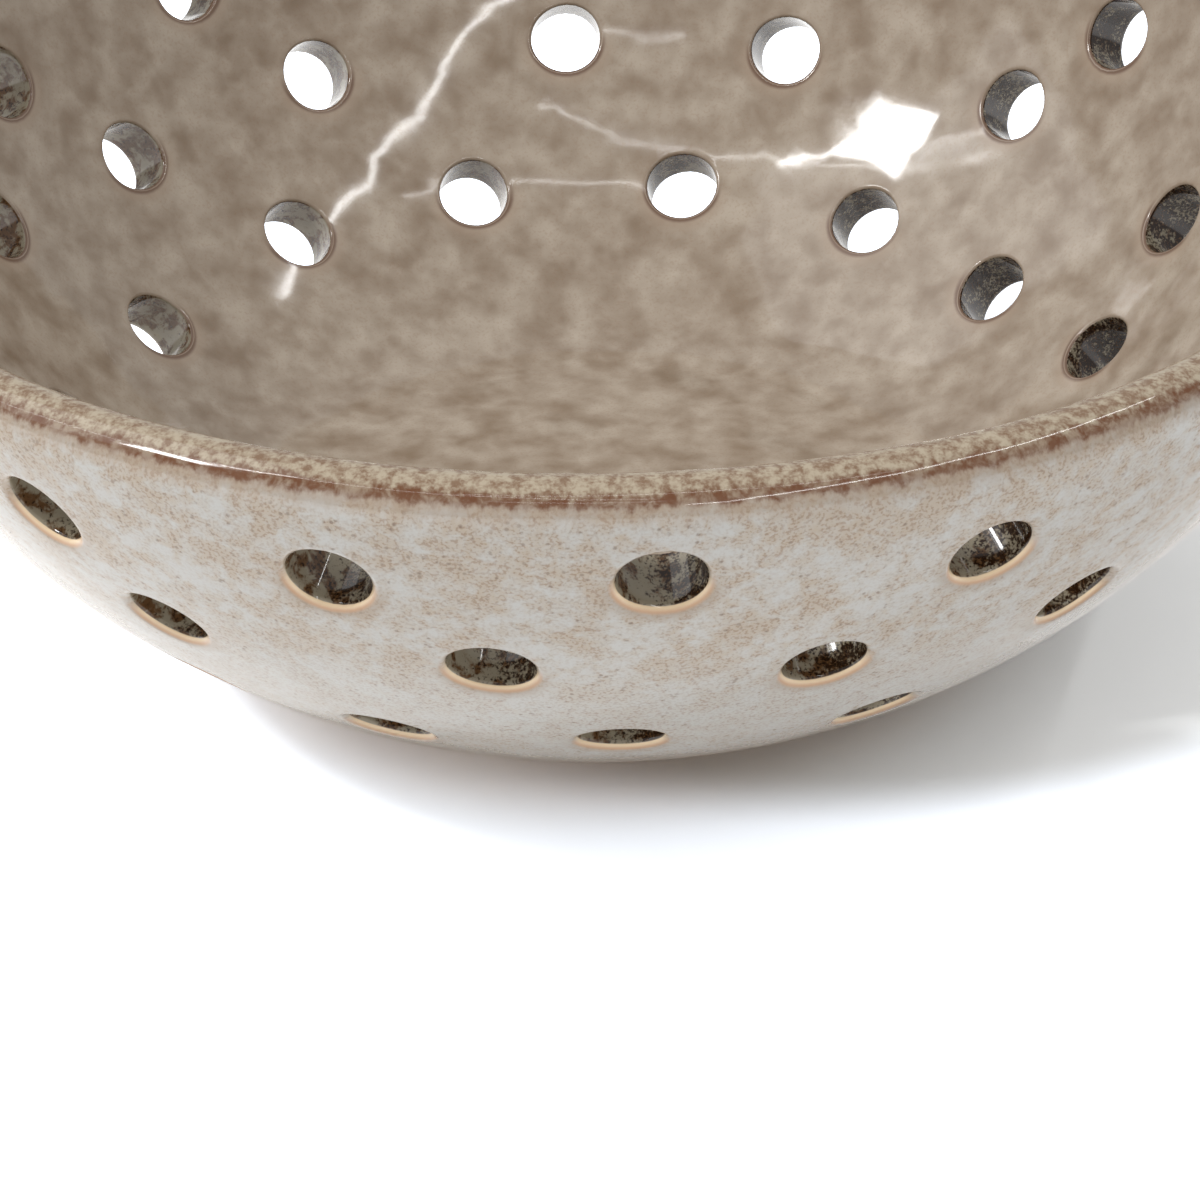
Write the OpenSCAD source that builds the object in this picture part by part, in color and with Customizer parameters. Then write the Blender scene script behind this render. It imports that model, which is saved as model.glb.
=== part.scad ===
// Berry bowl: a thrown stoneware bowl with staggered rows of drain holes under a glossy glaze.
// Sizes are in millimetres. The origin is on the table under the middle of the bowl, with +Z up.
// The front is towards -Y. Angles down the wall are measured at the centre of its curve, from straight down.

/* [Bowl] */
// Diameter over the glazed lip
rim_d = 166; // [148:1:188]
// Height from the table to the top of the glazed lip
bowl_h = 57.5; // [52:0.5:66]
// Diameter at the middle of the wall, where its curve meets the base
base_d = 66; // [60:1:74]
// Thickness of the clay wall
wall_t = 5.6; // [4.5:0.1:6.5]
// Thickness of the clay floor
floor_t = 6; // [4:0.1:7]
// Radius of the curve that takes the floor up into the wall inside
floor_blend_r = 22; // [10:1:26]

/* [Foot ring] */
// Outer diameter of the foot ring at its standing face
foot_d = 64; // [54:1:68]
// Width of the foot ring at its standing face
foot_w = 5; // [4:0.5:8]
// Height of the foot ring
foot_h = 4.5; // [3:0.5:6]
// How far the outside of the foot ring spreads from its standing face up to the base
foot_spread = 1.5; // [0:0.25:3]
// Radius of the two rounded edges of the standing face
foot_edge_r = 1; // [0.5:0.1:1.5]

/* [Glaze] */
// Thickness of the glaze coats
glaze_t = 0.4; // [0.3:0.05:0.6]
// Height of the bare band between the base and the edge of the outer glaze
bare_band_h = 1; // [0.5:0.25:2]

/* [Drain holes] */
// Diameter of a glazed drain hole
hole_d = 8; // [6:0.5:9]
// Radius of the soft glazed lip at both mouths of a hole
mouth_r = 1; // [0.8:0.1:1.3]
// Width of the softened clay edge at both mouths of a hole
clay_edge = 0.4; // [0.3:0.05:0.5]
// Number of holes in each row
holes_per_row = 15; // [10:1:16]
// Distance down the wall from the lip to the first row
row_1_drop = 8.5; // [8:0.5:10]
// Distance down the wall from the lip to the second row
row_2_drop = 23.5; // [22:0.5:25]
// Distance down the wall from the lip to the third row
row_3_drop = 42.5; // [41:0.5:44]
// Turn of the first row from the front
row_1_turn = 5; // [-12:0.5:12]
// Turn of the second row from the front
row_2_turn = -10; // [-12:0.5:12]
// Turn of the third row from the front
row_3_turn = 5; // [-12:0.5:12]
// How far the hand-cut holes stray along their row
stray_along = 3.5; // [0:0.5:4]
// How far the hand-cut holes stray up or down the wall
stray_up = 1.75; // [0:0.25:2]

/* [Hidden] */
$fn = 96;

// The lip is a full round on the middle line of the wall.
lip_r = wall_t / 2;
lip_x = rim_d / 2 - lip_r - glaze_t;
lip_z = bowl_h - lip_r - glaze_t;

// The wall is part of a hollow sphere. Its middle line runs through the lip and through the edge of the base.
base_x = base_d / 2;
curve_z = (lip_x * lip_x - base_x * base_x + lip_z * lip_z - foot_h * foot_h) / (2 * (lip_z - foot_h));
curve_r = norm([lip_x, curve_z - lip_z]);
outer_r = curve_r + wall_t / 2;
inner_r = curve_r - wall_t / 2;
lip_angle = atan2(lip_x, curve_z - lip_z);

// Drain holes: the glazed bore, the bore in the clay and the edge of the soft lips.
bore_r = hole_d / 2;
clay_bore_r = bore_r + glaze_t;
flare_r = bore_r + mouth_r;
row_drops = [row_1_drop, row_2_drop, row_3_drop];
row_turns = [row_1_turn, row_2_turn, row_3_turn];
row_angles = [for (drop = row_drops) lip_angle - drop / outer_r * 180 / PI];

// The stray of a hole follows two sines that step at different rates from hole to hole and row to row.
along_step = [304, 155];
along_start = 335;
up_step = [109, 350];
up_start = 105;

// Inside floor: its curve is kept below the lowest mouth of the third row.
floor_z = foot_h + floor_t;
floor_drop = curve_z - floor_z;
clear_angle = row_angles[2] - (flare_r + stray_up) / inner_r * 180 / PI;
clear_r = (floor_drop - cos(clear_angle) * inner_r) / (1 - cos(clear_angle));
blend_r = min(floor_blend_r, clear_r);
blend_angle = acos((floor_drop - blend_r) / (inner_r - blend_r));
blend_x = (inner_r - blend_r) * sin(blend_angle);
blend_z = floor_z + blend_r;

// Reach of the shapes that only trim others
reach = 2 * outer_r;

// How far a cutting shape runs past the surface it cuts, and how far the hollow runs past the lip
past = 3;
past_angle = 20;

// Height above the centre of the wall's curve, along a hole, of a ball of radius r at distance x from the axis
function ball_height(r, x) = sqrt(r * r - x * x);

// Part of the half plane between two angles from straight down, with its corner at a point
module sector(corner, from, to) {
    ways = [from, (from + to) / 2, to];
    translate(corner)
        polygon(concat([[0, 0]], [for (way = ways) reach * [sin(way), -cos(way)]]));
}

// Half of a disc in the section plane, centred on the axis at the centre of the wall's curve
module curve_disc(r) {
    intersection() {
        translate([0, curve_z])
            circle(r);
        translate([0, curve_z - reach])
            square([reach, 2 * reach]);
    }
}

// Everything in the section plane below the lip
module below_lip() {
    sector([0, curve_z], 0, lip_angle);
}

// Everything in the section plane above a height
module above(z) {
    translate([0, z])
        square([reach, 2 * reach]);
}

// Section of the hollow inside, with its wall, curve and floor drawn in by a coat.
// It runs past the lip and past the axis, so it cuts cleanly there.
module hollow(coat) {
    intersection() {
        translate([0, curve_z])
            circle(inner_r - coat);
        sector([0, curve_z], blend_angle, lip_angle + past_angle);
    }
    translate([blend_x, blend_z])
        circle(blend_r - coat);
    polygon([
        [-past, floor_z + coat],
        [blend_x, floor_z + coat],
        [blend_x, blend_z],
        [0, curve_z],
        [-past, curve_z],
    ]);
}

// Place children, drawn along +Z from the centre of the wall's curve, at every drain hole
module at_holes() {
    for (row = [0:len(row_drops) - 1], turn = [0:holes_per_row - 1]) {
        step = turn - floor(holes_per_row / 2);
        row_x = outer_r * sin(row_angles[row]);
        along = stray_along * sin(along_step[0] * step + along_step[1] * row + along_start);
        up = stray_up * sin(up_step[0] * step + up_step[1] * row + up_start);
        spin = 270 + row_turns[row] + step * 360 / holes_per_row + along / row_x * 180 / PI;
        fall = row_angles[row] + up / outer_r * 180 / PI;
        translate([0, 0, curve_z])
            rotate([0, 180 - fall, spin])
                children();
    }
}

// Section of the hole in the clay: the bore and the softened edges at both mouths
module clay_hole_section() {
    outer_edge = ball_height(outer_r, clay_bore_r + clay_edge);
    inner_edge = ball_height(inner_r, clay_bore_r + clay_edge);
    wide = clay_bore_r + clay_edge + past;
    polygon([
        [0, inner_edge - past],
        [wide, inner_edge - past],
        [clay_bore_r, inner_edge + clay_edge],
        [clay_bore_r, outer_edge - clay_edge],
        [wide, outer_edge + past],
        [0, outer_edge + past],
    ]);
}

// Section of the clay wall around one hole, seen along the hole
module holed_wall_section() {
    difference() {
        intersection() {
            difference() {
                circle(outer_r);
                circle(inner_r);
            }
            translate([0, inner_r - past])
                square([flare_r + past, wall_t + 2 * past]);
        }
        clay_hole_section();
    }
}

// Section of one lining: a sleeve with a quarter round at each mouth, less the clay that it coats
module lining_section() {
    outer_mouth = ball_height(outer_r + glaze_t, flare_r) - mouth_r;
    inner_mouth = ball_height(inner_r - glaze_t, flare_r) + mouth_r;
    difference() {
        union() {
            translate([bore_r, inner_mouth])
                square([glaze_t, outer_mouth - inner_mouth]);
            intersection() {
                translate([flare_r, outer_mouth])
                    circle(mouth_r);
                translate([bore_r, outer_mouth])
                    square(mouth_r);
            }
            intersection() {
                translate([flare_r, inner_mouth])
                    circle(mouth_r);
                translate([bore_r, inner_mouth - mouth_r])
                    square(mouth_r);
            }
        }
        holed_wall_section();
    }
}

// Cylinders through the coats of glaze, out to the edge of the soft lips
module flare_cutters() {
    at_holes()
        translate([0, 0, inner_r - past])
            cylinder(r = flare_r, h = wall_t + 2 * past);
}

// Thrown clay: wall, lip and floor, with the drain holes cut through
module bowl_body() {
    color("sienna")
        difference() {
            rotate_extrude() {
                difference() {
                    intersection() {
                        curve_disc(outer_r);
                        below_lip();
                        above(foot_h);
                    }
                    hollow(0);
                }
                translate([lip_x, lip_z])
                    circle(lip_r);
            }
            at_holes()
                rotate_extrude($fn = 48)
                    clay_hole_section();
        }
}

// Bare clay ring under the base, with a level standing face between two rounded edges
module foot_ring() {
    out_x = foot_d / 2;
    in_x = out_x - foot_w;
    color("peru")
        rotate_extrude() {
            polygon([
                [in_x, foot_edge_r],
                [in_x + foot_edge_r, foot_edge_r],
                [in_x + foot_edge_r, 0],
                [out_x - foot_edge_r, 0],
                [out_x - foot_edge_r, foot_edge_r],
                [out_x, foot_edge_r],
                [out_x + foot_spread, foot_h],
                [in_x, foot_h],
            ]);
            for (edge = [[in_x + foot_edge_r, -90], [out_x - foot_edge_r, 0]])
                intersection() {
                    translate([edge[0], foot_edge_r])
                        circle(foot_edge_r);
                    sector([edge[0], foot_edge_r], edge[1], edge[1] + 90);
                }
        }
}

// Coat on the outside of the wall, from the lip down to a clean edge above the base
module outer_glaze() {
    color("lightgray")
        difference() {
            rotate_extrude()
                intersection() {
                    difference() {
                        curve_disc(outer_r + glaze_t);
                        curve_disc(outer_r);
                    }
                    below_lip();
                    above(foot_h + bare_band_h);
                }
            flare_cutters();
        }
}

// Coat on the inside of the wall and on the floor
module inner_glaze() {
    color("tan")
        difference() {
            rotate_extrude()
                intersection() {
                    difference() {
                        hollow(0);
                        hollow(glaze_t);
                    }
                    below_lip();
                }
            flare_cutters();
        }
}

// Coat over the round of the lip
module rim_glaze() {
    color("saddlebrown")
        rotate_extrude()
            intersection() {
                translate([lip_x, lip_z])
                    difference() {
                        circle(lip_r + glaze_t);
                        circle(lip_r);
                    }
                sector([lip_x, lip_z], lip_angle, lip_angle + 180);
            }
}

// One flared lining in each drain hole
module hole_glaze() {
    color("darkorange")
        at_holes()
            rotate_extrude($fn = 48)
                lining_section();
}

bowl_body();
foot_ring();
outer_glaze();
inner_glaze();
rim_glaze();
hole_glaze();
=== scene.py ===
"""Speckled stoneware berry bowl: one glazed skin over the clay solids, on a plain white studio floor."""
import logging
import math
from dataclasses import dataclass, field
from enum import Enum
from typing import Any

import bpy
import numpy as np
from mathutils import Matrix, Vector


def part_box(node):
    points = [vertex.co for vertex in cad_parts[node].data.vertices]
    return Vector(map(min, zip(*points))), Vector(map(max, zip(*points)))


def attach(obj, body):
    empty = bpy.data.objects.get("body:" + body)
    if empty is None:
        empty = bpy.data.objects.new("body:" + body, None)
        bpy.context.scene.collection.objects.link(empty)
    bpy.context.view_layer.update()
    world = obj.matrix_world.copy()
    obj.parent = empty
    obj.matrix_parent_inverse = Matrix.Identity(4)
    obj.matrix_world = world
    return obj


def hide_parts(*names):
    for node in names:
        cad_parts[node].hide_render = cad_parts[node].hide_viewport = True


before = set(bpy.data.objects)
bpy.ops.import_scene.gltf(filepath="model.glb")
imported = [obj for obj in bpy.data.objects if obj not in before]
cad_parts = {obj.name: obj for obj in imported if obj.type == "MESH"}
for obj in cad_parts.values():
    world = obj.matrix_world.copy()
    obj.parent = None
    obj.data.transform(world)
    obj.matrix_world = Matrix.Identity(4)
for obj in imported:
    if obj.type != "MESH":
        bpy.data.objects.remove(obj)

LOG = logging.getLogger("berry_bowl")
MM = 0.001
BODY = "root"
FULL_TURN = 2 * math.pi

# The front of the bowl, towards -Y, in degrees from +X
FRONT = 270.0

# Millimetres that the finish reads as far from every mouth and from the lip
FAR = 60.0

Span = tuple[float, float]
Colour = tuple[float, float, float, float]


class Coat(Enum):
    """The four coats of glaze, each by the name of the node that it stands for."""

    OUTER = "outer_glaze"
    INNER = "inner_glaze"
    RIM = "rim_glaze"
    HOLE = "hole_glaze"


class Fact(Enum):
    """What the finish needs to know at each point of the skin."""

    MOUTH = "mouth"
    LIP = "lip"
    SIDE = "side"
    UNDER = "under"
    ASIDE = "aside"


def from_down(fall: np.ndarray, spin: np.ndarray) -> np.ndarray:
    """Directions from the centre of the wall's curve.

    Args:
        fall: angles from straight down, in radians.
        spin: angles round the axis from +X, in radians.

    Returns:
        Unit vectors, one row each.
    """
    fall, spin = np.broadcast_arrays(fall, spin)
    return np.stack([np.sin(fall) * np.cos(spin), np.sin(fall) * np.sin(spin), -np.cos(fall)], -1)


@dataclass(frozen=True)
class Wave:
    """One ripple of the hand-thrown wall: its depth in millimetres, how often it runs round the bowl,
    how it leans with height and where it starts."""

    depth: float
    count: int
    lean: float
    start: float

    def depth_at(self, spin: np.ndarray, height: np.ndarray) -> np.ndarray:
        """Depth of the ripple at angles round the axis and at heights in millimetres."""
        return self.depth * np.sin(self.count * spin + self.lean * height + self.start)


@dataclass
class BowlForm:
    """Sizes of the glazed bowl in millimetres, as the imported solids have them."""

    rim_d: float
    bowl_h: float
    wall_t: float = 5.6
    glaze_t: float = 0.4
    base_d: float = 66.0
    foot_h: float = 4.5
    floor_t: float = 6.0
    floor_blend_r: float = 22.0
    bare_band_h: float = 1.0
    sway_from: float = 14.0
    sway_full: float = 44.0
    waves: tuple[Wave, ...] = (Wave(0.11, 2, 0.0, 0.6), Wave(0.08, 5, 0.12, 0.0), Wave(0.05, 9, -0.17, 2.0))

    def __post_init__(self) -> None:
        """Work out the curve of the wall, the lip and the inside floor."""
        half = self.wall_t / 2
        self.lip_r = half + self.glaze_t
        self.lip_x = self.rim_d / 2 - self.lip_r
        self.lip_z = self.bowl_h - self.lip_r
        base_x = self.base_d / 2
        rise = self.lip_z - self.foot_h
        self.curve_z = (self.lip_x ** 2 - base_x ** 2 + self.lip_z ** 2 - self.foot_h ** 2) / (2 * rise)
        curve_r = math.hypot(self.lip_x, self.curve_z - self.lip_z)
        self.clay_r = curve_r + half
        self.outer_r = self.clay_r + self.glaze_t
        self.inner_r = curve_r - half - self.glaze_t
        self.lip_angle = math.atan2(self.lip_x, self.curve_z - self.lip_z)
        floor_z = self.foot_h + self.floor_t
        arm = curve_r - half - self.floor_blend_r
        self.blend_angle = math.acos((self.curve_z - floor_z - self.floor_blend_r) / arm)
        self.blend_x = arm * math.sin(self.blend_angle)
        self.blend_z = floor_z + self.floor_blend_r
        self.stop_angle = math.acos((self.curve_z - self.foot_h - self.bare_band_h) / self.outer_r)

    def place(self, ways: np.ndarray, radius: float) -> np.ndarray:
        """Points at a radius from the centre of the wall's curve, along the given directions."""
        return ways * radius + np.array([0.0, 0.0, self.curve_z])

    def sway(self, points: np.ndarray) -> np.ndarray:
        """Move points a little in and out, as a hand-thrown wall does.

        Args:
            points: points of the skin, in millimetres.

        Returns:
            The moved points. The foot of the wall and the floor stay where they are.
        """
        arm = points - np.array([0.0, 0.0, self.curve_z])
        ways = arm / np.linalg.norm(arm, axis=1, keepdims=True)
        spin = np.arctan2(points[:, 1], points[:, 0])
        height = points[:, 2]
        share = np.clip((height - self.sway_from) / (self.sway_full - self.sway_from), 0.0, 1.0)
        depth = sum(wave.depth_at(spin, height) for wave in self.waves)
        return points + ways * (depth * share)[:, None]


@dataclass
class DrainPattern:
    """Three staggered rows of drain holes that stray a little, as holes cut by hand do."""

    form: BowlForm
    per_row: int = 15
    bore_r: float = 4.0
    mouth_r: float = 1.0
    inner_mouth_r: float = 0.4
    drops: tuple[float, ...] = (8.5, 23.5, 42.5)
    turns: tuple[float, ...] = (5.0, -10.0, 5.0)
    cell_turns: tuple[float, ...] = (5.0, -7.0, 5.0)
    stray_along: float = 3.5
    along_step: Span = (304.0, 155.0)
    along_start: float = 335.0
    stray_up: float = 1.75
    up_step: Span = (109.0, 350.0)
    up_start: float = 105.0
    oval_2: float = 0.018
    oval_2_step: float = 1.7
    oval_3: float = 0.01
    oval_3_step: float = 2.3

    def __post_init__(self) -> None:
        """Work out the angles of every hole, by row and by place in the row."""
        clay_r = self.form.clay_r
        step = np.arange(self.per_row) - self.per_row // 2
        self.flare_r = self.bore_r + self.mouth_r
        self.row_falls = [self.form.lip_angle - drop / clay_r for drop in self.drops]
        falls, spins = [], []
        for row, row_fall in enumerate(self.row_falls):
            along_way = self.along_step[0] * step + self.along_step[1] * row + self.along_start
            up_way = self.up_step[0] * step + self.up_step[1] * row + self.up_start
            along = self.stray_along * np.sin(np.radians(along_way))
            falls.append(row_fall + self.stray_up * np.sin(np.radians(up_way)) / clay_r)
            spins.append(np.radians(FRONT + self.turns[row] + step * 360 / self.per_row)
                         + along / (clay_r * math.sin(row_fall)))
        self.falls, self.spins = np.array(falls), np.array(spins)
        self.axes = from_down(self.falls, self.spins).reshape(-1, 3)
        self.upwards = from_down(self.falls + math.pi / 2, self.spins).reshape(-1, 3)

    def nearest_mouth(self, ways: np.ndarray, radius: float) -> tuple[np.ndarray, np.ndarray]:
        """Distance along the wall to the edge of the nearest mouth, and the side of the hole.

        Args:
            ways: unit vectors from the centre of the wall's curve.
            radius: radius of the wall that the distance is measured on.

        Returns:
            Distances in millimetres, held to FAR at most, and sides from -1 above the hole to 1 below it.
        """
        match = ways @ self.axes.T
        hole = match.argmax(1)
        far = np.arccos(np.clip(match.max(1), -1.0, 1.0))
        under = -(ways * self.upwards[hole]).sum(1) / np.maximum(np.sin(far), 1e-6)
        return np.minimum(far * radius - self.flare_r, FAR), under

    def oval(self, row: int, place: int, bearing: np.ndarray) -> np.ndarray:
        """Edge of a hole at bearings about its axis, slightly out of round, in parts of its radius."""
        two = self.oval_2 * np.cos(2 * bearing + self.oval_2_step * place + row)
        three = self.oval_3 * np.cos(3 * bearing - self.oval_3_step * place)
        return 1 + two + three


class SkinMesh:
    """Points and four-sided faces of one unbroken surface, with the facts that its finish reads."""

    def __init__(self) -> None:
        """Start with no points and no faces."""
        self.points = np.zeros((0, 3))
        self.facts = {fact: np.zeros(0) for fact in Fact}
        self.faces = np.zeros((0, 4), int)
        self.coats = np.zeros(0, object)

    def add(self, points: np.ndarray, mouth: Any, lip: Any, side: Any, under: Any = 0.0,
            aside: Any = 0.0) -> np.ndarray:
        """Add points with their facts.

        Args:
            points: points in millimetres, one row each.
            mouth: millimetres from the edge of the nearest mouth, negative inside the hole.
            lip: millimetres down from the top of the lip, negative on the inside.
            side: 1 on the outside of the bowl, 0 on the inside.
            under: 1 straight below the nearest hole, -1 straight above it.
            aside: 1 on the right of a hole's bore as seen from outside, -1 on its left.

        Returns:
            The numbers of the new points.
        """
        first, count = len(self.points), len(points)
        self.points = np.concatenate([self.points, points])
        for fact, value in zip(Fact, (mouth, lip, side, under, aside)):
            self.facts[fact] = np.concatenate([self.facts[fact], np.broadcast_to(value, count)])
        return np.arange(first, first + count)

    def quads(self, faces: np.ndarray, coat: Coat) -> None:
        """Add faces, given by the numbers of their corners, to a coat."""
        self.faces = np.concatenate([self.faces, faces])
        self.coats = np.concatenate([self.coats, np.full(len(faces), coat, object)])

    def bridge(self, near: np.ndarray, far: np.ndarray, coat: Coat, flip: bool = False) -> None:
        """Join two closed rings of the same count with one band of faces.

        Args:
            near: point numbers of the first ring.
            far: point numbers of the second ring.
            coat: the coat that the band belongs to.
            flip: turn the faces over.
        """
        band = np.stack([near, np.roll(near, -1), np.roll(far, -1), far], 1)
        self.quads(band[:, ::-1] if flip else band, coat)

    def chain(self, rings: list[np.ndarray], coat: Coat, flip: bool = False) -> None:
        """Join each ring of a list to the next."""
        for near, far in zip(rings, rings[1:]):
            self.bridge(near, far, coat, flip)

    def normals(self) -> np.ndarray:
        """Smooth normals of the whole surface, one for each point."""
        corner = self.points[self.faces]
        across = np.cross(corner[:, 2] - corner[:, 0], corner[:, 3] - corner[:, 1])
        total = np.zeros_like(self.points)
        for k in range(4):
            np.add.at(total, self.faces[:, k], across)
        return total / np.maximum(np.linalg.norm(total, axis=1, keepdims=True), 1e-12)


@dataclass
class GlazedSkin:
    """The glaze as one unbroken surface over wall, lip, floor and drain holes, parted into its four coats."""

    form: BowlForm
    drains: DrainPattern
    along: int = 12
    up: int = 8
    wall_layers: int = 7
    mouth_rings: int = 6
    bore_rings: int = 3
    lip_rings: int = 24
    climb_rings: int = 3
    stop_rings: int = 8
    edge_rings: int = 4
    curve_rings: int = 10
    top_margin: float = 0.4
    floor_margin: float = 0.9
    ease: float = 1.5
    rounding: float = 0.5
    coat_depth: float = 0.34
    mesh: SkinMesh = field(default_factory=SkinMesh)

    def __post_init__(self) -> None:
        """Set the angles of the rings that part the rows of holes."""
        count = self.along * self.drains.per_row
        first = math.radians(FRONT + self.drains.cell_turns[0]) - math.pi
        self.spins = first + np.arange(count) * FULL_TURN / count
        falls = self.drains.row_falls
        edges = [np.full(count, self.form.lip_angle - math.radians(self.top_margin))]
        for row in (0, 1):
            middle = (falls[row] + falls[row + 1]) / 2
            knots = self.drains.spins[row:row + 2].ravel() % FULL_TURN
            strays = (self.drains.falls[row:row + 2] - np.array(falls[row:row + 2])[:, None]).ravel()
            order = np.argsort(knots)
            bend = np.interp(self.spins % FULL_TURN, knots[order], strays[order], period=FULL_TURN)
            edges.append(middle + bend)
        edges.append(np.full(count, self.form.blend_angle + math.radians(self.floor_margin)))
        self.edges = edges

    def wall_points(self, fall: np.ndarray, spin: np.ndarray, outside: bool) -> np.ndarray:
        """Add points of the outer or inner wall.

        Args:
            fall: angles from straight down, in radians.
            spin: angles round the axis, in radians.
            outside: True for the outer wall.

        Returns:
            The numbers of the new points.
        """
        return self.way_points(from_down(fall, spin), outside)

    def way_points(self, ways: np.ndarray, outside: bool) -> np.ndarray:
        """Add points of the outer or inner wall, given by directions, and return their numbers."""
        form = self.form
        radius = form.outer_r if outside else form.inner_r
        drop = (form.lip_angle - np.arccos(np.clip(-ways[:, 2], -1.0, 1.0))) * radius
        round_part = form.lip_r * (math.pi - form.lip_angle if outside else form.lip_angle)
        lip = (drop + round_part) * (1 if outside else -1)
        mouth, under = self.drains.nearest_mouth(ways, radius)
        return self.mesh.add(form.place(ways, radius), mouth, lip, 1.0 if outside else 0.0, under)

    def build(self) -> SkinMesh:
        """Build the whole surface.

        Returns:
            The surface, in millimetres, with its facts.
        """
        outer = [self.wall_points(edge, self.spins, True) for edge in self.edges]
        inner = [self.wall_points(edge, self.spins, False) for edge in self.edges]
        for row in range(3):
            self.row_of_cells(row, outer[row:row + 2], inner[row:row + 2])
        self.over_lip(outer[0], inner[0])
        self.down_to_stop(outer[3])
        self.into_floor(inner[3])
        self.mesh.points = self.form.sway(self.mesh.points)
        return self.mesh

    def row_of_cells(self, row: int, outer: list[np.ndarray], inner: list[np.ndarray]) -> None:
        """Fill the band between two rings with one cell around each hole of a row.

        Args:
            row: number of the row, from the lip down.
            outer: the upper and lower ring on the outer wall.
            inner: the upper and lower ring on the inner wall.
        """
        count, per_row = len(self.spins), self.drains.per_row
        turn = math.radians(FRONT + self.drains.cell_turns[row]) - self.spins[0]
        start = round(turn / FULL_TURN * count) - self.along // 2 - per_row // 2 * self.along
        corner = (start + self.along * np.arange(per_row)) % count
        share = (np.arange(1, self.up) / self.up)[None, :]
        fall = self.edges[row][corner][:, None] * (1 - share) + self.edges[row + 1][corner][:, None] * share
        spin = np.broadcast_to(self.spins[corner][:, None], fall.shape)
        posts = [self.wall_points(fall.ravel(), spin.ravel(), outside).reshape(fall.shape)
                 for outside in (True, False)]
        span = np.arange(self.along + 1)
        for place in range(per_row):
            across = (corner[place] + span) % count
            after = (place + 1) % per_row
            loops = []
            for (upper, lower), post in zip((outer, inner), posts):
                sides = [upper[across], post[after], lower[across][::-1], post[place][::-1]]
                loops.append(np.concatenate(sides))
            self.drain_hole(row, place, loops)

    def drain_hole(self, row: int, place: int, loops: list[np.ndarray]) -> None:
        """Lead the wall from a cell's outer loop through its hole to the cell's inner loop.

        Args:
            row: number of the row.
            place: number of the hole in its row.
            loops: point numbers of the cell's outline on the outer and on the inner wall.
        """
        form, drains, mesh = self.form, self.drains, self.mesh
        hole = row * drains.per_row + place
        axis, upward = drains.axes[hole], drains.upwards[hole]
        spin = drains.spins[row, place]
        along = np.array([-math.sin(spin), math.cos(spin), 0.0])
        loop_ways = mesh.points[loops[0]] - np.array([0.0, 0.0, form.curve_z])
        loop_ways /= np.linalg.norm(loop_ways, axis=1, keepdims=True)
        far = np.arccos(np.clip(loop_ways @ axis, -1.0, 1.0))
        turn = np.unwrap(np.arctan2(loop_ways @ upward, loop_ways @ along))
        even = -FULL_TURN * np.arange(len(turn)) / len(turn)
        goal = (1 - self.rounding) * turn + self.rounding * (even + (turn - even).mean())
        round_ways = np.cos(goal)[:, None] * along + np.sin(goal)[:, None] * upward
        oval = drains.oval(row, place, goal)

        def layer(share: float, outside: bool) -> np.ndarray:
            """Add one ring of the wall between the cell's loop and the mouth."""
            radius = form.outer_r if outside else form.inner_r
            flare = drains.bore_r + (drains.mouth_r if outside else drains.inner_mouth_r)
            eased = 1 - (1 - share) ** self.ease
            reach = far + (flare * oval / radius - far) * eased
            bearing = turn + (goal - turn) * eased
            flat = np.cos(bearing)[:, None] * along + np.sin(bearing)[:, None] * upward
            return self.way_points(np.cos(reach)[:, None] * axis + np.sin(reach)[:, None] * flat, outside)

        def ring(wide: float, height: float, depth: float, side: float) -> np.ndarray:
            """Add one ring of the hole's lining."""
            points = height * axis + (wide * oval)[:, None] * round_ways + np.array([0.0, 0.0, form.curve_z])
            lip = (1 if side > 0.5 else -1) * (drains.drops[row] + form.lip_r)
            return mesh.add(points, -depth, lip, side, -np.sin(goal), np.cos(goal))

        shares = np.arange(1, self.wall_layers + 1) / self.wall_layers
        outside = [loops[0]] + [layer(share, True) for share in shares]
        inside = [layer(share, False) for share in shares[::-1]] + [loops[1]]
        mouth, soft = drains.mouth_r, drains.inner_mouth_r
        top = math.sqrt(form.outer_r ** 2 - drains.flare_r ** 2) - mouth
        low = math.sqrt(form.inner_r ** 2 - (drains.bore_r + soft) ** 2) + soft
        bends = math.pi / 2 * np.arange(1, self.mouth_rings + 1) / self.mouth_rings
        lining = [outside[-1]]
        for bend in bends:
            wide = drains.flare_r - mouth * math.sin(bend)
            lining.append(ring(wide, top + mouth * math.cos(bend), mouth * bend, 1.0))
        for share in np.arange(1, self.bore_rings) / self.bore_rings:
            deep = mouth * math.pi / 2 + (top - low) * min(share, 1 - share)
            lining.append(ring(drains.bore_r, top + (low - top) * share, deep, 1 - share))
        for bend in bends[::-1]:
            wide = drains.bore_r + soft - soft * math.sin(bend)
            lining.append(ring(wide, low - soft * math.cos(bend), mouth * bend, 0.0))
        lining.append(inside[0])
        mesh.chain(outside, Coat.OUTER, True)
        mesh.chain(lining, Coat.HOLE, True)
        mesh.chain(inside, Coat.INNER, True)

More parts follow.
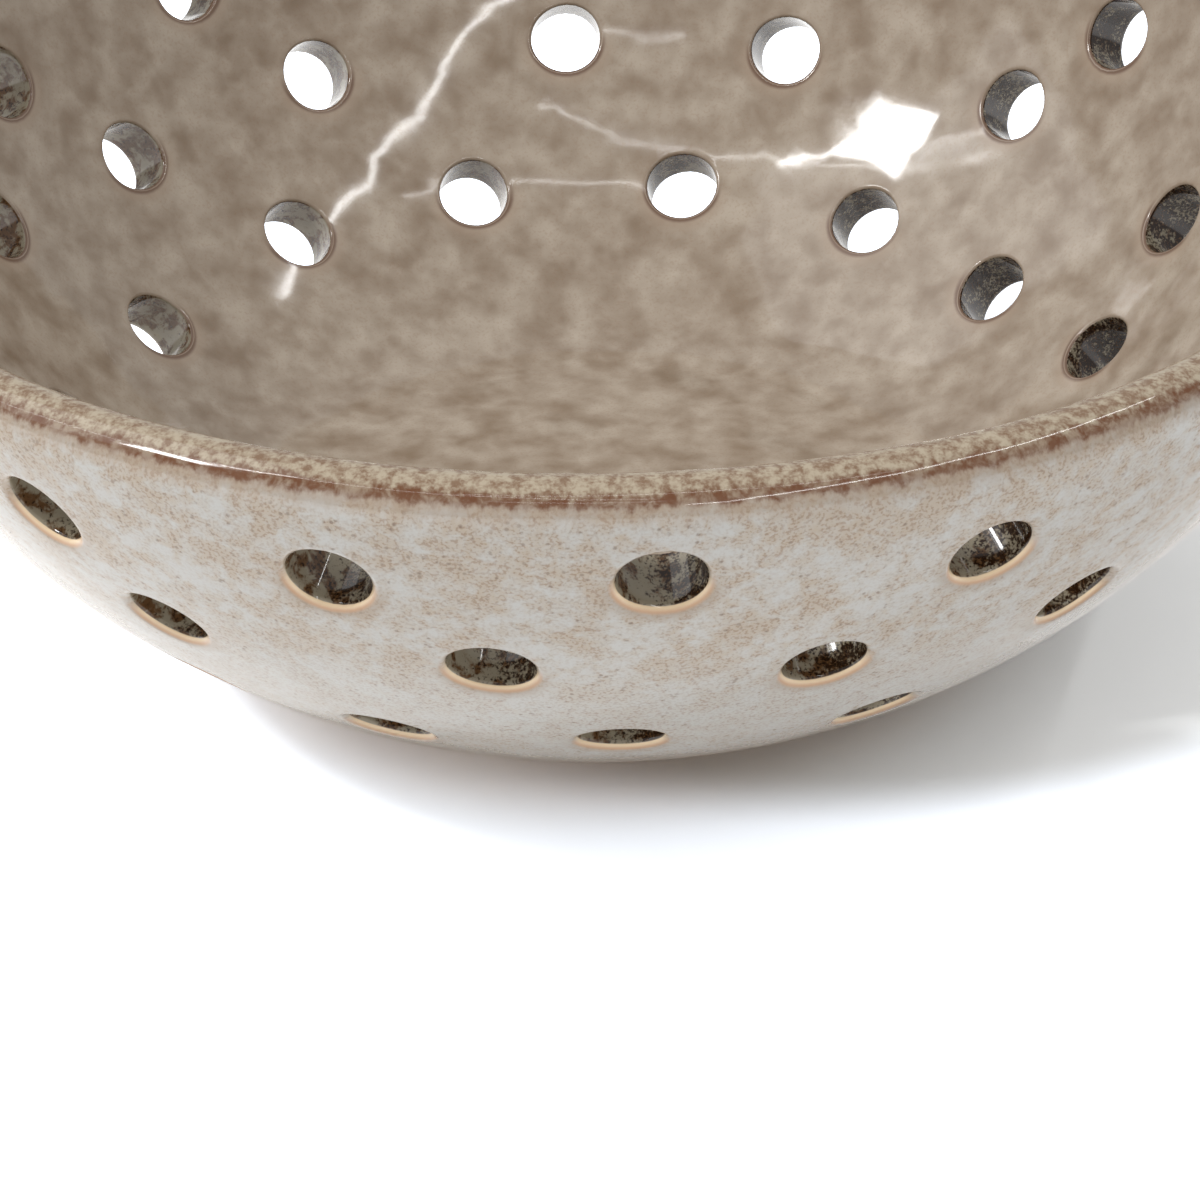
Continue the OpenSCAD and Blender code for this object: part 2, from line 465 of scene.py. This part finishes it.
    def over_lip(self, outer: np.ndarray, inner: np.ndarray) -> None:
        """Close the wall over the round of the lip, from the outer top ring to the inner one."""
        form, mesh = self.form, self.mesh
        steps = np.linspace(self.edges[0][0], form.lip_angle, self.climb_rings + 1)[1:]
        climb = [outer] + [self.wall_points(fall, self.spins, True) for fall in steps]
        sink = [self.wall_points(fall, self.spins, False) for fall in steps[::-1]] + [inner]
        crown = [climb[-1]]
        for bend in np.linspace(0.0, math.pi, self.lip_rings + 1)[1:-1]:
            fall = form.lip_angle + bend
            wide = form.lip_x + form.lip_r * math.sin(fall)
            points = np.stack([wide * np.cos(self.spins), wide * np.sin(self.spins),
                               np.full(len(self.spins), form.lip_z - form.lip_r * math.cos(fall))], -1)
            crown.append(mesh.add(points, FAR, form.lip_r * (math.pi - fall), 1 - bend / math.pi))
        mesh.chain(climb, Coat.OUTER)
        mesh.chain(crown + [sink[0]], Coat.RIM)
        mesh.chain(sink, Coat.INNER)

    def down_to_stop(self, lowest: np.ndarray) -> None:
        """Carry the outer wall down to the rounded edge where the glaze stops above the base."""
        form, mesh = self.form, self.mesh
        last = form.stop_angle + form.glaze_t / form.outer_r
        falls = np.linspace(self.edges[3][0], last, self.stop_rings + 1)[1:]
        rings = [lowest] + [self.wall_points(fall, self.spins, True) for fall in falls]
        for bend in np.linspace(0.0, math.pi / 2, self.edge_rings + 1)[1:]:
            fall = falls[-1] - form.glaze_t * math.sin(bend) / form.outer_r
            ways = from_down(np.full(len(self.spins), fall), self.spins)
            radius = form.outer_r - form.glaze_t * (1 - math.cos(bend))
            rings.append(mesh.add(form.place(ways, radius), FAR, FAR, 1.0))
        mesh.chain(rings[::-1], Coat.OUTER)

    def into_floor(self, lowest: np.ndarray) -> None:
        """Carry the inner wall round the curve at its foot and across the level floor."""
        form, mesh = self.form, self.mesh
        rings = [lowest, self.wall_points(np.full(len(self.spins), form.blend_angle), self.spins, False)]
        curve_r = form.floor_blend_r - form.glaze_t
        for bend in np.linspace(form.blend_angle, 0.0, self.curve_rings + 1)[1:]:
            wide = form.blend_x + curve_r * math.sin(bend)
            points = np.stack([wide * np.cos(self.spins), wide * np.sin(self.spins),
                               np.full(len(self.spins), form.blend_z - curve_r * math.cos(bend))], -1)
            rings.append(mesh.add(points, FAR, -FAR, 0.0))
        mesh.chain(rings, Coat.INNER)
        self.level_floor(rings[-1], form.blend_z - curve_r)

    def level_floor(self, edge: np.ndarray, height: float) -> None:
        """Fill the level floor inside its edge ring with a square net drawn out to a disc.

        Args:
            edge: point numbers of the edge ring.
            height: height of the floor, in millimetres.
        """
        side = len(edge) // 4
        spread = math.sqrt(2) * np.sin(np.radians(np.linspace(-45, 45, side + 1)))
        u, v = np.meshgrid(spread, spread, indexing="ij")
        x, y = u * np.sqrt(1 - v * v / 2), v * np.sqrt(1 - u * u / 2)
        twist = self.spins[0] + math.pi / 4
        points = self.form.blend_x * np.stack([x * math.cos(twist) - y * math.sin(twist),
                                               x * math.sin(twist) + y * math.cos(twist),
                                               np.full_like(x, height / self.form.blend_x)], -1)
        net = np.full((side + 1, side + 1), -1)
        net[side, :side] = edge[:side]
        net[side:0:-1, side] = edge[side:2 * side]
        net[0, side:0:-1] = edge[2 * side:3 * side]
        net[:side, 0] = edge[3 * side:4 * side]
        free = net < 0
        net[free] = self.mesh.add(points[free], FAR, -FAR, 0.0)
        squares = np.stack([net[:-1, :-1], net[1:, :-1], net[1:, 1:], net[:-1, 1:]], -1)
        self.mesh.quads(squares.reshape(-1, 4), Coat.INNER)

    def piece(self, coat: Coat, normals: np.ndarray, finish: bpy.types.Material) -> bpy.types.Object:
        """Make one coat as a closed thin shell that stands for its node.

        Args:
            coat: the coat to make.
            normals: smooth normals of the whole skin, so that neighbouring coats meet without a seam.
            finish: material of the coat.

        Returns:
            The new object.
        """
        faces = self.mesh.faces[self.mesh.coats == coat]
        used, local = np.unique(faces, return_inverse=True)
        local = local.reshape(faces.shape)
        edges = np.concatenate([local[:, [k, (k + 1) % 4]] for k in range(4)])
        _, first, uses = np.unique(np.sort(edges, 1), axis=0, return_index=True, return_counts=True)
        rim = edges[first[uses == 1]]
        count = len(used)
        front, way = self.mesh.points[used], normals[used]
        walls = np.stack([rim[:, 1], rim[:, 0], rim[:, 0] + count, rim[:, 1] + count], 1)
        data = bpy.data.meshes.new(coat.value)
        points = np.concatenate([front, front - self.coat_depth * way]) * MM
        data.from_pydata(points.tolist(), [], np.concatenate([local, local[:, ::-1] + count, walls]).tolist())
        for fact in Fact:
            store = data.attributes.new(fact.value, "FLOAT", "POINT")
            store.data.foreach_set("value", np.tile(self.mesh.facts[fact][used], 2).astype(np.float32))
        data.polygons.foreach_set("use_smooth", np.ones(len(data.polygons), bool))
        data.normals_split_custom_set_from_vertices(np.concatenate([way, -way]).tolist())
        data.materials.append(finish)
        piece = bpy.data.objects.new("skin_" + coat.value, data)
        bpy.context.scene.collection.objects.link(piece)
        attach(piece, BODY)
        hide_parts(coat.value)
        return piece


class Signal:
    """A socket of a node that takes part in Python arithmetic."""

    def __init__(self, graph: "Graph", socket: bpy.types.NodeSocket) -> None:
        """Hold a socket of a graph."""
        self.graph = graph
        self.socket = socket

    def math(self, operation: str, first: Any, second: Any = 0.0) -> "Signal":
        """Add a Math node and return its result."""
        return self.graph.add("ShaderNodeMath", {"operation": operation}, {0: first, 1: second})

    def __add__(self, other: Any) -> "Signal":
        """Sum."""
        return self.math("ADD", self, other)

    def __radd__(self, other: Any) -> "Signal":
        """Sum, the other way round."""
        return self.math("ADD", other, self)

    def __sub__(self, other: Any) -> "Signal":
        """Difference."""
        return self.math("SUBTRACT", self, other)

    def __rsub__(self, other: Any) -> "Signal":
        """Difference, the other way round."""
        return self.math("SUBTRACT", other, self)

    def __mul__(self, other: Any) -> "Signal":
        """Product."""
        return self.math("MULTIPLY", self, other)

    def __rmul__(self, other: Any) -> "Signal":
        """Product, the other way round."""
        return self.math("MULTIPLY", other, self)

    def ramp(self, low: float, high: float) -> "Signal":
        """Rise smoothly from 0 at low to 1 at high, or fall where low is the larger."""
        limits = {"From Min": low, "From Max": high, "To Min": 0.0, "To Max": 1.0}
        return self.graph.add("ShaderNodeMapRange", {"interpolation_type": "SMOOTHSTEP"},
                              {"Value": self, **limits})


class Graph:
    """The nodes of one material."""

    def __init__(self, name: str) -> None:
        """Make an empty material."""
        self.material = bpy.data.materials.new(name)
        self.material.use_nodes = True
        self.tree = self.material.node_tree
        self.tree.nodes.clear()

    def add(self, kind: str, settings: dict[str, Any], inputs: dict[Any, Any],
            output: Any = 0) -> Signal | None:
        """Add one node.

        Args:
            kind: type name of the node.
            settings: properties of the node, set first.
            inputs: numbers, colours or signals by the name or the number of their socket.
            output: name or number of the socket to return.

        Returns:
            The chosen output, or None from a node that has no outputs.
        """
        node = self.tree.nodes.new(kind)
        for key, value in settings.items():
            setattr(node, key, value)
        for key, value in inputs.items():
            if isinstance(value, Signal):
                self.tree.links.new(value.socket, node.inputs[key])
            else:
                node.inputs[key].default_value = value
        return Signal(self, node.outputs[output]) if len(node.outputs) else None

    def fact(self, fact: Fact) -> Signal:
        """Read a fact that the skin holds at its points."""
        return self.add("ShaderNodeAttribute", {"attribute_name": fact.value}, {}, "Fac")

    def place(self, stretch: tuple[float, float, float] = (1.0, 1.0, 1.0)) -> Signal:
        """Place on the object in millimetres, stretched along each axis."""
        spot = self.add("ShaderNodeTexCoord", {}, {}, "Object")
        scale = tuple(part / MM for part in stretch)
        return self.add("ShaderNodeVectorMath", {"operation": "MULTIPLY"}, {0: spot, 1: scale}, "Vector")

    def noise(self, place: Signal, size: float, detail: float, rough: float, twist: float = 0.0) -> Signal:
        """Cloudy noise with lumps of about the given size in millimetres."""
        return self.add("ShaderNodeTexNoise", {}, {"Vector": place, "Scale": 1 / size, "Detail": detail,
                                                   "Roughness": rough, "Distortion": twist})

    def dots(self, place: Signal, size: float) -> Signal:
        """Distance from scattered points about the given size apart, in parts of that size."""
        return self.add("ShaderNodeTexVoronoi", {}, {"Vector": place, "Scale": 1 / size, "Randomness": 1.0})

    def mix(self, share: Any, first: Any, second: Any) -> Signal:
        """Mix two colours by a share from 0 to 1."""
        return self.add("ShaderNodeMix", {"data_type": "RGBA", "blend_type": "MIX"},
                        {0: share, 6: first, 7: second}, 2)

    def bump(self, height: Signal, depth: float, under: Signal | None = None) -> Signal:
        """Bend the normal by a height, whose unit is the given depth in millimetres."""
        inputs = {"Height": height, "Distance": depth * MM, "Strength": 1.0}
        if under is not None:
            inputs["Normal"] = under
        return self.add("ShaderNodeBump", {}, inputs)

    def surface(self, shader: Signal) -> bpy.types.Material:
        """Set the shader of the surface and return the finished material."""
        self.add("ShaderNodeOutputMaterial", {}, {"Surface": shader})
        return self.material


def shade(red: float, green: float, blue: float) -> Colour:
    """A colour from its values as shown on screen, 0 to 255, with full cover."""
    parts = [part / 255 for part in (red, green, blue)]
    return tuple(p / 12.92 if p <= 0.04045 else ((p + 0.055) / 1.055) ** 2.4 for p in parts) + (1.0,)


@dataclass(frozen=True)
class SpeckledGlaze:
    """Glossy speckled glaze that breaks brown on the lip and toasted at the holes, with a painted highlight
    on each mouth's inner edge, painted shade and painted reflection in the bores, and a lower wall painted
    paler as the white floor's reflection.
    """

    name: str = "speckled_glaze"
    pale: Colour = shade(198, 197, 193)
    beige: Colour = shade(184, 167, 146)
    speck: Colour = shade(140, 108, 82)
    dark_dot: Colour = shade(96, 70, 52)
    lip_beige: Colour = shade(183, 169, 147)
    lip_spot: Colour = shade(112, 74, 44)
    break_brown: Colour = shade(106, 62, 34)
    mauve: Colour = shade(169, 150, 131)
    # painted highlight: the palest toast, on the inner edge of each mouth, stands for the edge's glint
    toast_highlight: Colour = shade(255, 228, 190)
    toast_edge: Colour = shade(206, 164, 128)
    inside_ring: Colour = shade(118, 94, 78)
    # bore colours: the dark brown is partly glaze and partly painted shade, the grey olive partly painted
    # reflection of the pale surroundings
    bore_olive_reflection: Colour = shade(156, 146, 126)
    bore_brown_shade: Colour = shade(44, 26, 13)
    bore_rust: Colour = shade(104, 74, 46)
    inside_pale: Colour = shade(186, 173, 157)
    inside_dark: Colour = shade(138, 120, 101)
    gloss: float = 0.06
    cloud_size: float = 5.5
    drift_size: float = 1.7
    grain_size: float = 0.32
    streak_size: float = 0.9
    streak_stretch: float = 0.35
    patch_size: float = 3.6
    fleck_size: float = 0.3
    dot_gap: float = 0.85
    swell_size: float = 14.0
    swell_depth: float = 0.45
    peel_size: float = 2.6
    peel_depth: float = 0.008
    inside_to_outside: Span = (0.35, 0.65)
    # painted reflection: the height band where the lower wall is made paler and bluer, standing in for the
    # white floor's light on it
    low_wall_reflection: Span = (22.0, 38.0)
    lip_front: Span = (3.4, 2.6)
    lip_back: Span = (-3.5, -1.2)
    edge_wander: float = 1.9
    fade_from: Span = (2.2, 3.0)
    fade_to: Span = (5.6, 3.3)
    brown_from: Span = (1.6, 2.5)
    brown_to: Span = (3.7, 3.0)
    halo: Span = (1.5, -0.3)
    toast_from: Span = (-0.1, -0.6)
    # where the painted highlight of the toast takes over from the toasted edge
    toast_highlight_ramp: Span = (-0.45, -0.95)
    bore_from: Span = (-1.02, -1.14)
    below_hole: Span = (-0.3, 0.5)

    def material(self) -> bpy.types.Material:
        """Build the material.

        Returns:
            The finished material.
        """
        g = Graph(self.name)
        spot, drawn = g.place(), g.place((1.0, 1.0, self.streak_stretch))
        mouth, lip, side, under, aside = (g.fact(fact) for fact in Fact)
        cloud = g.noise(spot, self.cloud_size, detail=2.0, rough=0.5, twist=0.3)
        drift = g.noise(spot, self.drift_size, detail=4.0, rough=0.6, twist=0.4)
        grain = g.noise(spot, self.grain_size, detail=1.0, rough=0.5)
        streak = g.noise(drawn, self.streak_size, detail=3.0, rough=0.6)
        outer = self.outside(g, spot, lip, cloud, drift, grain)
        inner = self.inside(g, spot, cloud, grain)
        colour = g.mix(side.ramp(*self.inside_to_outside), inner, outer)
        colour = self.lip_band(g, colour, lip, drift, grain, streak)
        colour = self.hole(g, colour, mouth, side, under, aside, spot, drift)
        swell = g.noise(spot, self.swell_size, detail=1.0, rough=0.4)
        peel = g.noise(spot, self.peel_size, detail=1.0, rough=0.4)
        normal = g.bump(peel, self.peel_depth, g.bump(swell, self.swell_depth))
        gloss = grain.ramp(0.3, 0.7) * 0.03 + self.gloss
        return g.surface(g.add("ShaderNodeBsdfPrincipled", {}, {"Base Color": colour, "Roughness": gloss,
                                                                "Normal": normal, "IOR": 1.5}))

    def outside(self, g: Graph, spot: Signal, lip: Signal, cloud: Signal, drift: Signal,
                grain: Signal) -> Signal:
        """Pale bluish ground clouded with beige, under a fine brown stipple that comes and goes; lower down
        it has fewer beige clouds, a painted reflection of the white floor.
        """
        # painted reflection: fewer beige clouds on the lower wall make it paler, as the white floor's light
        # would; the extra stipple there is the glaze's own
        low = lip.ramp(*self.low_wall_reflection)
        warm = (drift * 0.55 + cloud * 0.45).ramp(0.36, 0.62) * (1.0 - low * 0.55)
        ground = g.mix(warm * 0.9, self.pale, self.beige)
        stipple = grain.ramp(0.46, 0.66) * (warm * 0.5 + low * 0.15 + 0.1)
        ground = g.mix(stipple, ground, self.speck)
        dots = g.dots(spot, self.dot_gap).ramp(0.34, 0.12) * drift.ramp(0.45, 0.6)
        return g.mix(dots * 0.5, ground, self.dark_dot)

    def inside(self, g: Graph, spot: Signal, cloud: Signal, grain: Signal) -> Signal:
        """Soft grey-beige mottling with a faint grain."""
        patch = g.noise(spot, self.patch_size, detail=2.0, rough=0.5, twist=0.2)
        blend = (patch * 0.5 + cloud * 0.5).ramp(0.24, 0.76)
        ground = g.mix(blend, self.inside_dark, self.inside_pale)
        return g.mix(grain.ramp(0.5, 0.72) * 0.18, ground, self.speck)

    def lip_band(self, g: Graph, wall: Signal, lip: Signal, drift: Signal, grain: Signal,
                 streak: Signal) -> Signal:
        """Lay the spotted lip, the brown break below it and its mauve fade over the wall."""
        on_lip = lip.ramp(*self.lip_front) * lip.ramp(*self.lip_back)
        spots = (drift * 0.3 + streak * 0.5 + grain * 0.2).ramp(0.4, 0.62)
        top = g.mix(spots * 0.75, self.lip_beige, self.lip_spot)
        edge = lip + (streak - 0.5) * self.edge_wander
        fade = edge.ramp(*self.fade_to) * lip.ramp(*self.fade_from)
        colour = g.mix(fade * 0.75, wall, self.mauve)
        colour = g.mix(on_lip, colour, top)
        brown = edge.ramp(*self.brown_from) * edge.ramp(*self.brown_to)
        return g.mix(brown * (drift.ramp(0.36, 0.6) * 0.5 + 0.4), colour, self.break_brown)

    def hole(self, g: Graph, wall: Signal, mouth: Signal, side: Signal, under: Signal, aside: Signal,
             spot: Signal, drift: Signal) -> Signal:
        """Lay the halo, the toasted mouth with its painted highlight, and the dark mottled bore, darkened
        with painted shade and partly greyed with painted reflection, of the drain holes.
        """
        # painted highlight: the ring turns from toasted glaze to near white towards the bore
        ring = g.mix(mouth.ramp(*self.toast_highlight_ramp), self.toast_edge, self.toast_highlight)
        ring = g.mix(side.ramp(0.4, 0.6), self.inside_ring, ring)
        low = under.ramp(*self.below_hole) * 0.9 + 0.1
        colour = g.mix(mouth.ramp(*self.halo) * low * 0.6, wall, self.mauve)
        colour = g.mix(mouth.ramp(*self.toast_from) * low, colour, ring)
        fleck = g.noise(spot, self.fleck_size, detail=2.0, rough=0.6)
        # painted reflection and painted shade: grey olive mottled with rust, then dark brown that gathers
        # more on the right side of each bore
        bore = g.mix(drift.ramp(0.44, 0.58), self.bore_olive_reflection, self.bore_rust)
        bore = g.mix((fleck * 0.6 + drift * 0.4 + aside * 0.08).ramp(0.46, 0.6), bore, self.bore_brown_shade)
        return g.mix(mouth.ramp(*self.bore_from), colour, bore)


@dataclass(frozen=True)
class BareClay:
    """Dry fired stoneware: buff clay with iron specks, turning marks and a fine tooth."""

    name: str
    buff: Colour
    warm: Colour
    speck: Colour = shade(92, 66, 46)
    rough: float = 0.85
    ring_size: float = 1.4
    ring_stretch: float = 0.15
    ring_depth: float = 0.08
    tooth_size: float = 0.35
    tooth_depth: float = 0.06
    patch_size: float = 8.0
    iron_gap: float = 1.9

    def material(self) -> bpy.types.Material:
        """Build the material."""
        g = Graph(self.name)
        spot = g.place()
        turned = g.place((self.ring_stretch, self.ring_stretch, 1.0))
        rings = g.noise(turned, self.ring_size, detail=2.0, rough=0.5)
        tooth = g.noise(spot, self.tooth_size, detail=3.0, rough=0.65)
        patch = g.noise(spot, self.patch_size, detail=3.0, rough=0.6)
        colour = g.mix(patch.ramp(0.35, 0.65), self.buff, self.warm)
        iron = g.dots(spot, self.iron_gap).ramp(0.2, 0.1) * tooth.ramp(0.35, 0.55)
        colour = g.mix(iron * 0.8, colour, self.speck)
        normal = g.bump(tooth, self.tooth_depth, g.bump(rings, self.ring_depth))
        rough = tooth.ramp(0.3, 0.7) * 0.1 + (self.rough - 0.05)
        return g.surface(g.add("ShaderNodeBsdfPrincipled", {}, {"Base Color": colour, "Roughness": rough,
                                                                "Normal": normal}))


@dataclass(frozen=True)
class Lamp:
    """One area lamp that looks at the bowl: its place, its short and long side, how much light it gives
    and which way its long side runs."""

    name: str
    place: tuple[float, float, float]
    size: tuple[float, float]
    watts: float
    along: tuple[float, float, float] = (0.0, 0.0, 1.0)
    target: tuple[float, float, float] = (0.0, 0.0, 0.04)

    def build(self) -> bpy.types.Object:
        """Add the lamp to the scene."""
        data = bpy.data.lights.new(self.name, "AREA")
        data.shape = "RECTANGLE"
        data.size, data.size_y = self.size
        data.energy = self.watts
        lamp = bpy.data.objects.new(self.name, data)
        back = (Vector(self.place) - Vector(self.target)).normalized()
        across = Vector(self.along).cross(back).normalized()
        turn = Matrix((across, back.cross(across), back)).transposed()
        lamp.matrix_world = Matrix.Translation(self.place) @ turn.to_4x4()
        bpy.context.scene.collection.objects.link(lamp)
        return lamp


@dataclass
class Studio:
    """White floor, soft light and the camera at the photograph's angle."""

    lens_px: float = 4437.58
    image_px: float = 1200.0
    sensor_mm: float = 36.0
    near_clip: float = 0.01
    eye: tuple[float, float, float] = (0.0, -0.4171, 0.2389)
    pitch: float = 29.84
    yaw: float = -0.006
    roll: float = -0.585
    sky: float = 0.5
    floor_half: float = 3.0
    floor_plain: Colour = (0.9, 0.9, 0.9, 1.0)
    floor_mirrored: Colour = (1.6, 1.6, 1.6, 1.0)
    # painted shade: the camera's floor colour, darker and slightly cool near the bowl, whiter further out
    floor_near_shade: Colour = (1.24, 1.27, 1.29, 1.0)
    floor_far: Colour = (2.55, 2.75, 3.05, 1.0)
    shadow_squash: float = 0.75
    shadow_shift: float = 21.0
    shadow_edge: Span = (36.0, 48.0)
    lamps: tuple[Lamp, ...] = (
        Lamp("key_lamp", (-1.609, -0.557, 1.813), (0.29, 0.53), 15.0, (-0.124, 0.231, -0.043)),
        Lamp("soft_lamp", (-1.0, 0.15, 1.2), (1.2, 1.2), 5.9),
        Lamp("bright_strip", (-0.569, -0.305, 0.92), (0.018, 0.25), 0.5, (0.21, 0.0, 0.126)),
        Lamp("right_strip", (0.6, -0.44, 1.06), (0.028, 1.74), 3.0, (0.0, 1.63, -0.6)),
        Lamp("left_strip", (-0.5, -0.35, 1.04), (0.012, 1.6), 0.8, (0.0, 0.6, -1.0)),
        Lamp("top_strip", (0.135, -0.44, 1.35), (0.012, 0.95), 0.5, (0.93, 0.145, -0.045)),
        Lamp("front_strip", (-0.05, -0.96, 1.13), (0.02, 0.5), 0.25, (1.0, 0.0, 0.0)),
    )

    def camera(self) -> bpy.types.Object:
        """Place the camera where the fit to the photograph puts it."""
        pitch, yaw, roll = (math.radians(angle) for angle in (self.pitch, self.yaw, self.roll))
        ahead = Vector((math.sin(yaw) * math.cos(pitch), math.cos(yaw) * math.cos(pitch), -math.sin(pitch)))
        level = ahead.cross(Vector((0.0, 0.0, 1.0))).normalized()
        upright = level.cross(ahead)
        right = level * math.cos(roll) + upright * math.sin(roll)
        up = upright * math.cos(roll) - level * math.sin(roll)
        data = bpy.data.cameras.new("photo_camera")
        data.sensor_width = self.sensor_mm
        data.lens = self.lens_px / self.image_px * data.sensor_width
        data.clip_start = self.near_clip
        camera = bpy.data.objects.new("photo_camera", data)
        turn = Matrix((right, up, -ahead)).transposed()
        camera.matrix_world = Matrix.Translation(self.eye) @ turn.to_4x4()
        bpy.context.scene.collection.objects.link(camera)
        bpy.context.scene.camera = camera
        return camera

    def floor(self) -> bpy.types.Object:
        """Lay the pale floor, brighter to the camera and in the glaze than it is to the light, with painted
        shade: seen by the camera it is darker and slightly cool near the bowl and whiter further out.
        """
        g = Graph("studio_floor")
        path = g.add("ShaderNodeLightPath", {}, {}, "Is Camera Ray")
        rays = path.socket.node.outputs
        mirrored, through = (Signal(g, rays[name]) for name in ("Is Glossy Ray", "Is Transmission Ray"))
        share = g.add("ShaderNodeMath", {"operation": "ADD", "use_clamp": True},
                      {0: path + mirrored, 1: through})
        plain = g.add("ShaderNodeBsdfDiffuse", {}, {"Color": self.floor_plain})
        # painted shade: distance from a point right of the bowl, on a squashed floor, sets where the darker
        # floor turns white
        squashed = g.place((self.shadow_squash, 1.0, 1.0))
        spot = g.add("ShaderNodeVectorMath", {"operation": "SUBTRACT"},
                     {0: squashed, 1: (self.shadow_shift, 0.0, 0.0)}, "Vector")
        far = g.add("ShaderNodeVectorMath", {"operation": "LENGTH"}, {0: spot}, "Value")
        white = g.mix(far.ramp(*self.shadow_edge), self.floor_near_shade, self.floor_far)
        white = g.mix(path, self.floor_mirrored, white)
        bright = g.add("ShaderNodeBsdfDiffuse", {}, {"Color": white})
        finish = g.surface(g.add("ShaderNodeMixShader", {}, {0: share, 1: plain, 2: bright}))
        half = self.floor_half
        data = bpy.data.meshes.new("studio_floor")
        data.from_pydata([(-half, -half, 0.0), (half, -half, 0.0), (half, half, 0.0), (-half, half, 0.0)], [],
                         [(0, 1, 2, 3)])
        data.materials.append(finish)
        floor = bpy.data.objects.new("studio_floor", data)
        bpy.context.scene.collection.objects.link(floor)
        return floor

    def world(self) -> None:
        """Light the scene softly from all sides."""
        world = bpy.data.worlds.new("studio_world")
        world.use_nodes = True
        back = world.node_tree.nodes["Background"]
        back.inputs["Color"].default_value = (1.0, 1.0, 1.0, 1.0)
        back.inputs["Strength"].default_value = self.sky
        bpy.context.scene.world = world

    def build(self) -> None:
        """Set up floor, light, camera and the plain view of colours."""
        self.camera()
        self.floor()
        self.world()
        for lamp in self.lamps:
            lamp.build()
        bpy.context.scene.view_settings.view_transform = "Standard"


@dataclass
class BerryBowl:
    """The whole bowl: clay solids dressed as bare stoneware, under the glazed skin."""

    form: BowlForm
    drains: DrainPattern

    def dress_clay(self) -> None:
        """Give the clay body and the foot ring their bare clay finishes."""
        finishes = {
            "bowl_body": BareClay("bare_clay", shade(196, 172, 142), shade(178, 148, 116)),
            "foot_ring": BareClay("wiped_foot_clay", shade(192, 166, 134), shade(172, 140, 108), rough=0.78),
        }
        for node, finish in finishes.items():
            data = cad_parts[node].data
            data.materials.clear()
            data.materials.append(finish.material())
            LOG.info("dressed %s", node)

    def glaze(self) -> None:
        """Make the four coats of glaze."""
        skin = GlazedSkin(self.form, self.drains)
        mesh = skin.build()
        normals = mesh.normals()
        finish = SpeckledGlaze().material()
        for coat in Coat:
            piece = skin.piece(coat, normals, finish)
            LOG.info("made %s with %d faces", piece.name, len(piece.data.polygons))


def packed_form() -> BowlForm:
    """Read the bowl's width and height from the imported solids."""
    low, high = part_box(Coat.RIM.value)
    return BowlForm(round((high.x - low.x) / MM, 1), round(high.z / MM, 1))


def main() -> None:
    """Build the studio and the bowl."""
    logging.basicConfig(level=logging.INFO, format="%(name)s: %(message)s")
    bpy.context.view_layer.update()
    Studio().build()
    LOG.info("made the studio")
    form = packed_form()
    bowl = BerryBowl(form, DrainPattern(form))
    bowl.dress_clay()
    bowl.glaze()


if __name__ == "__main__":
    main()
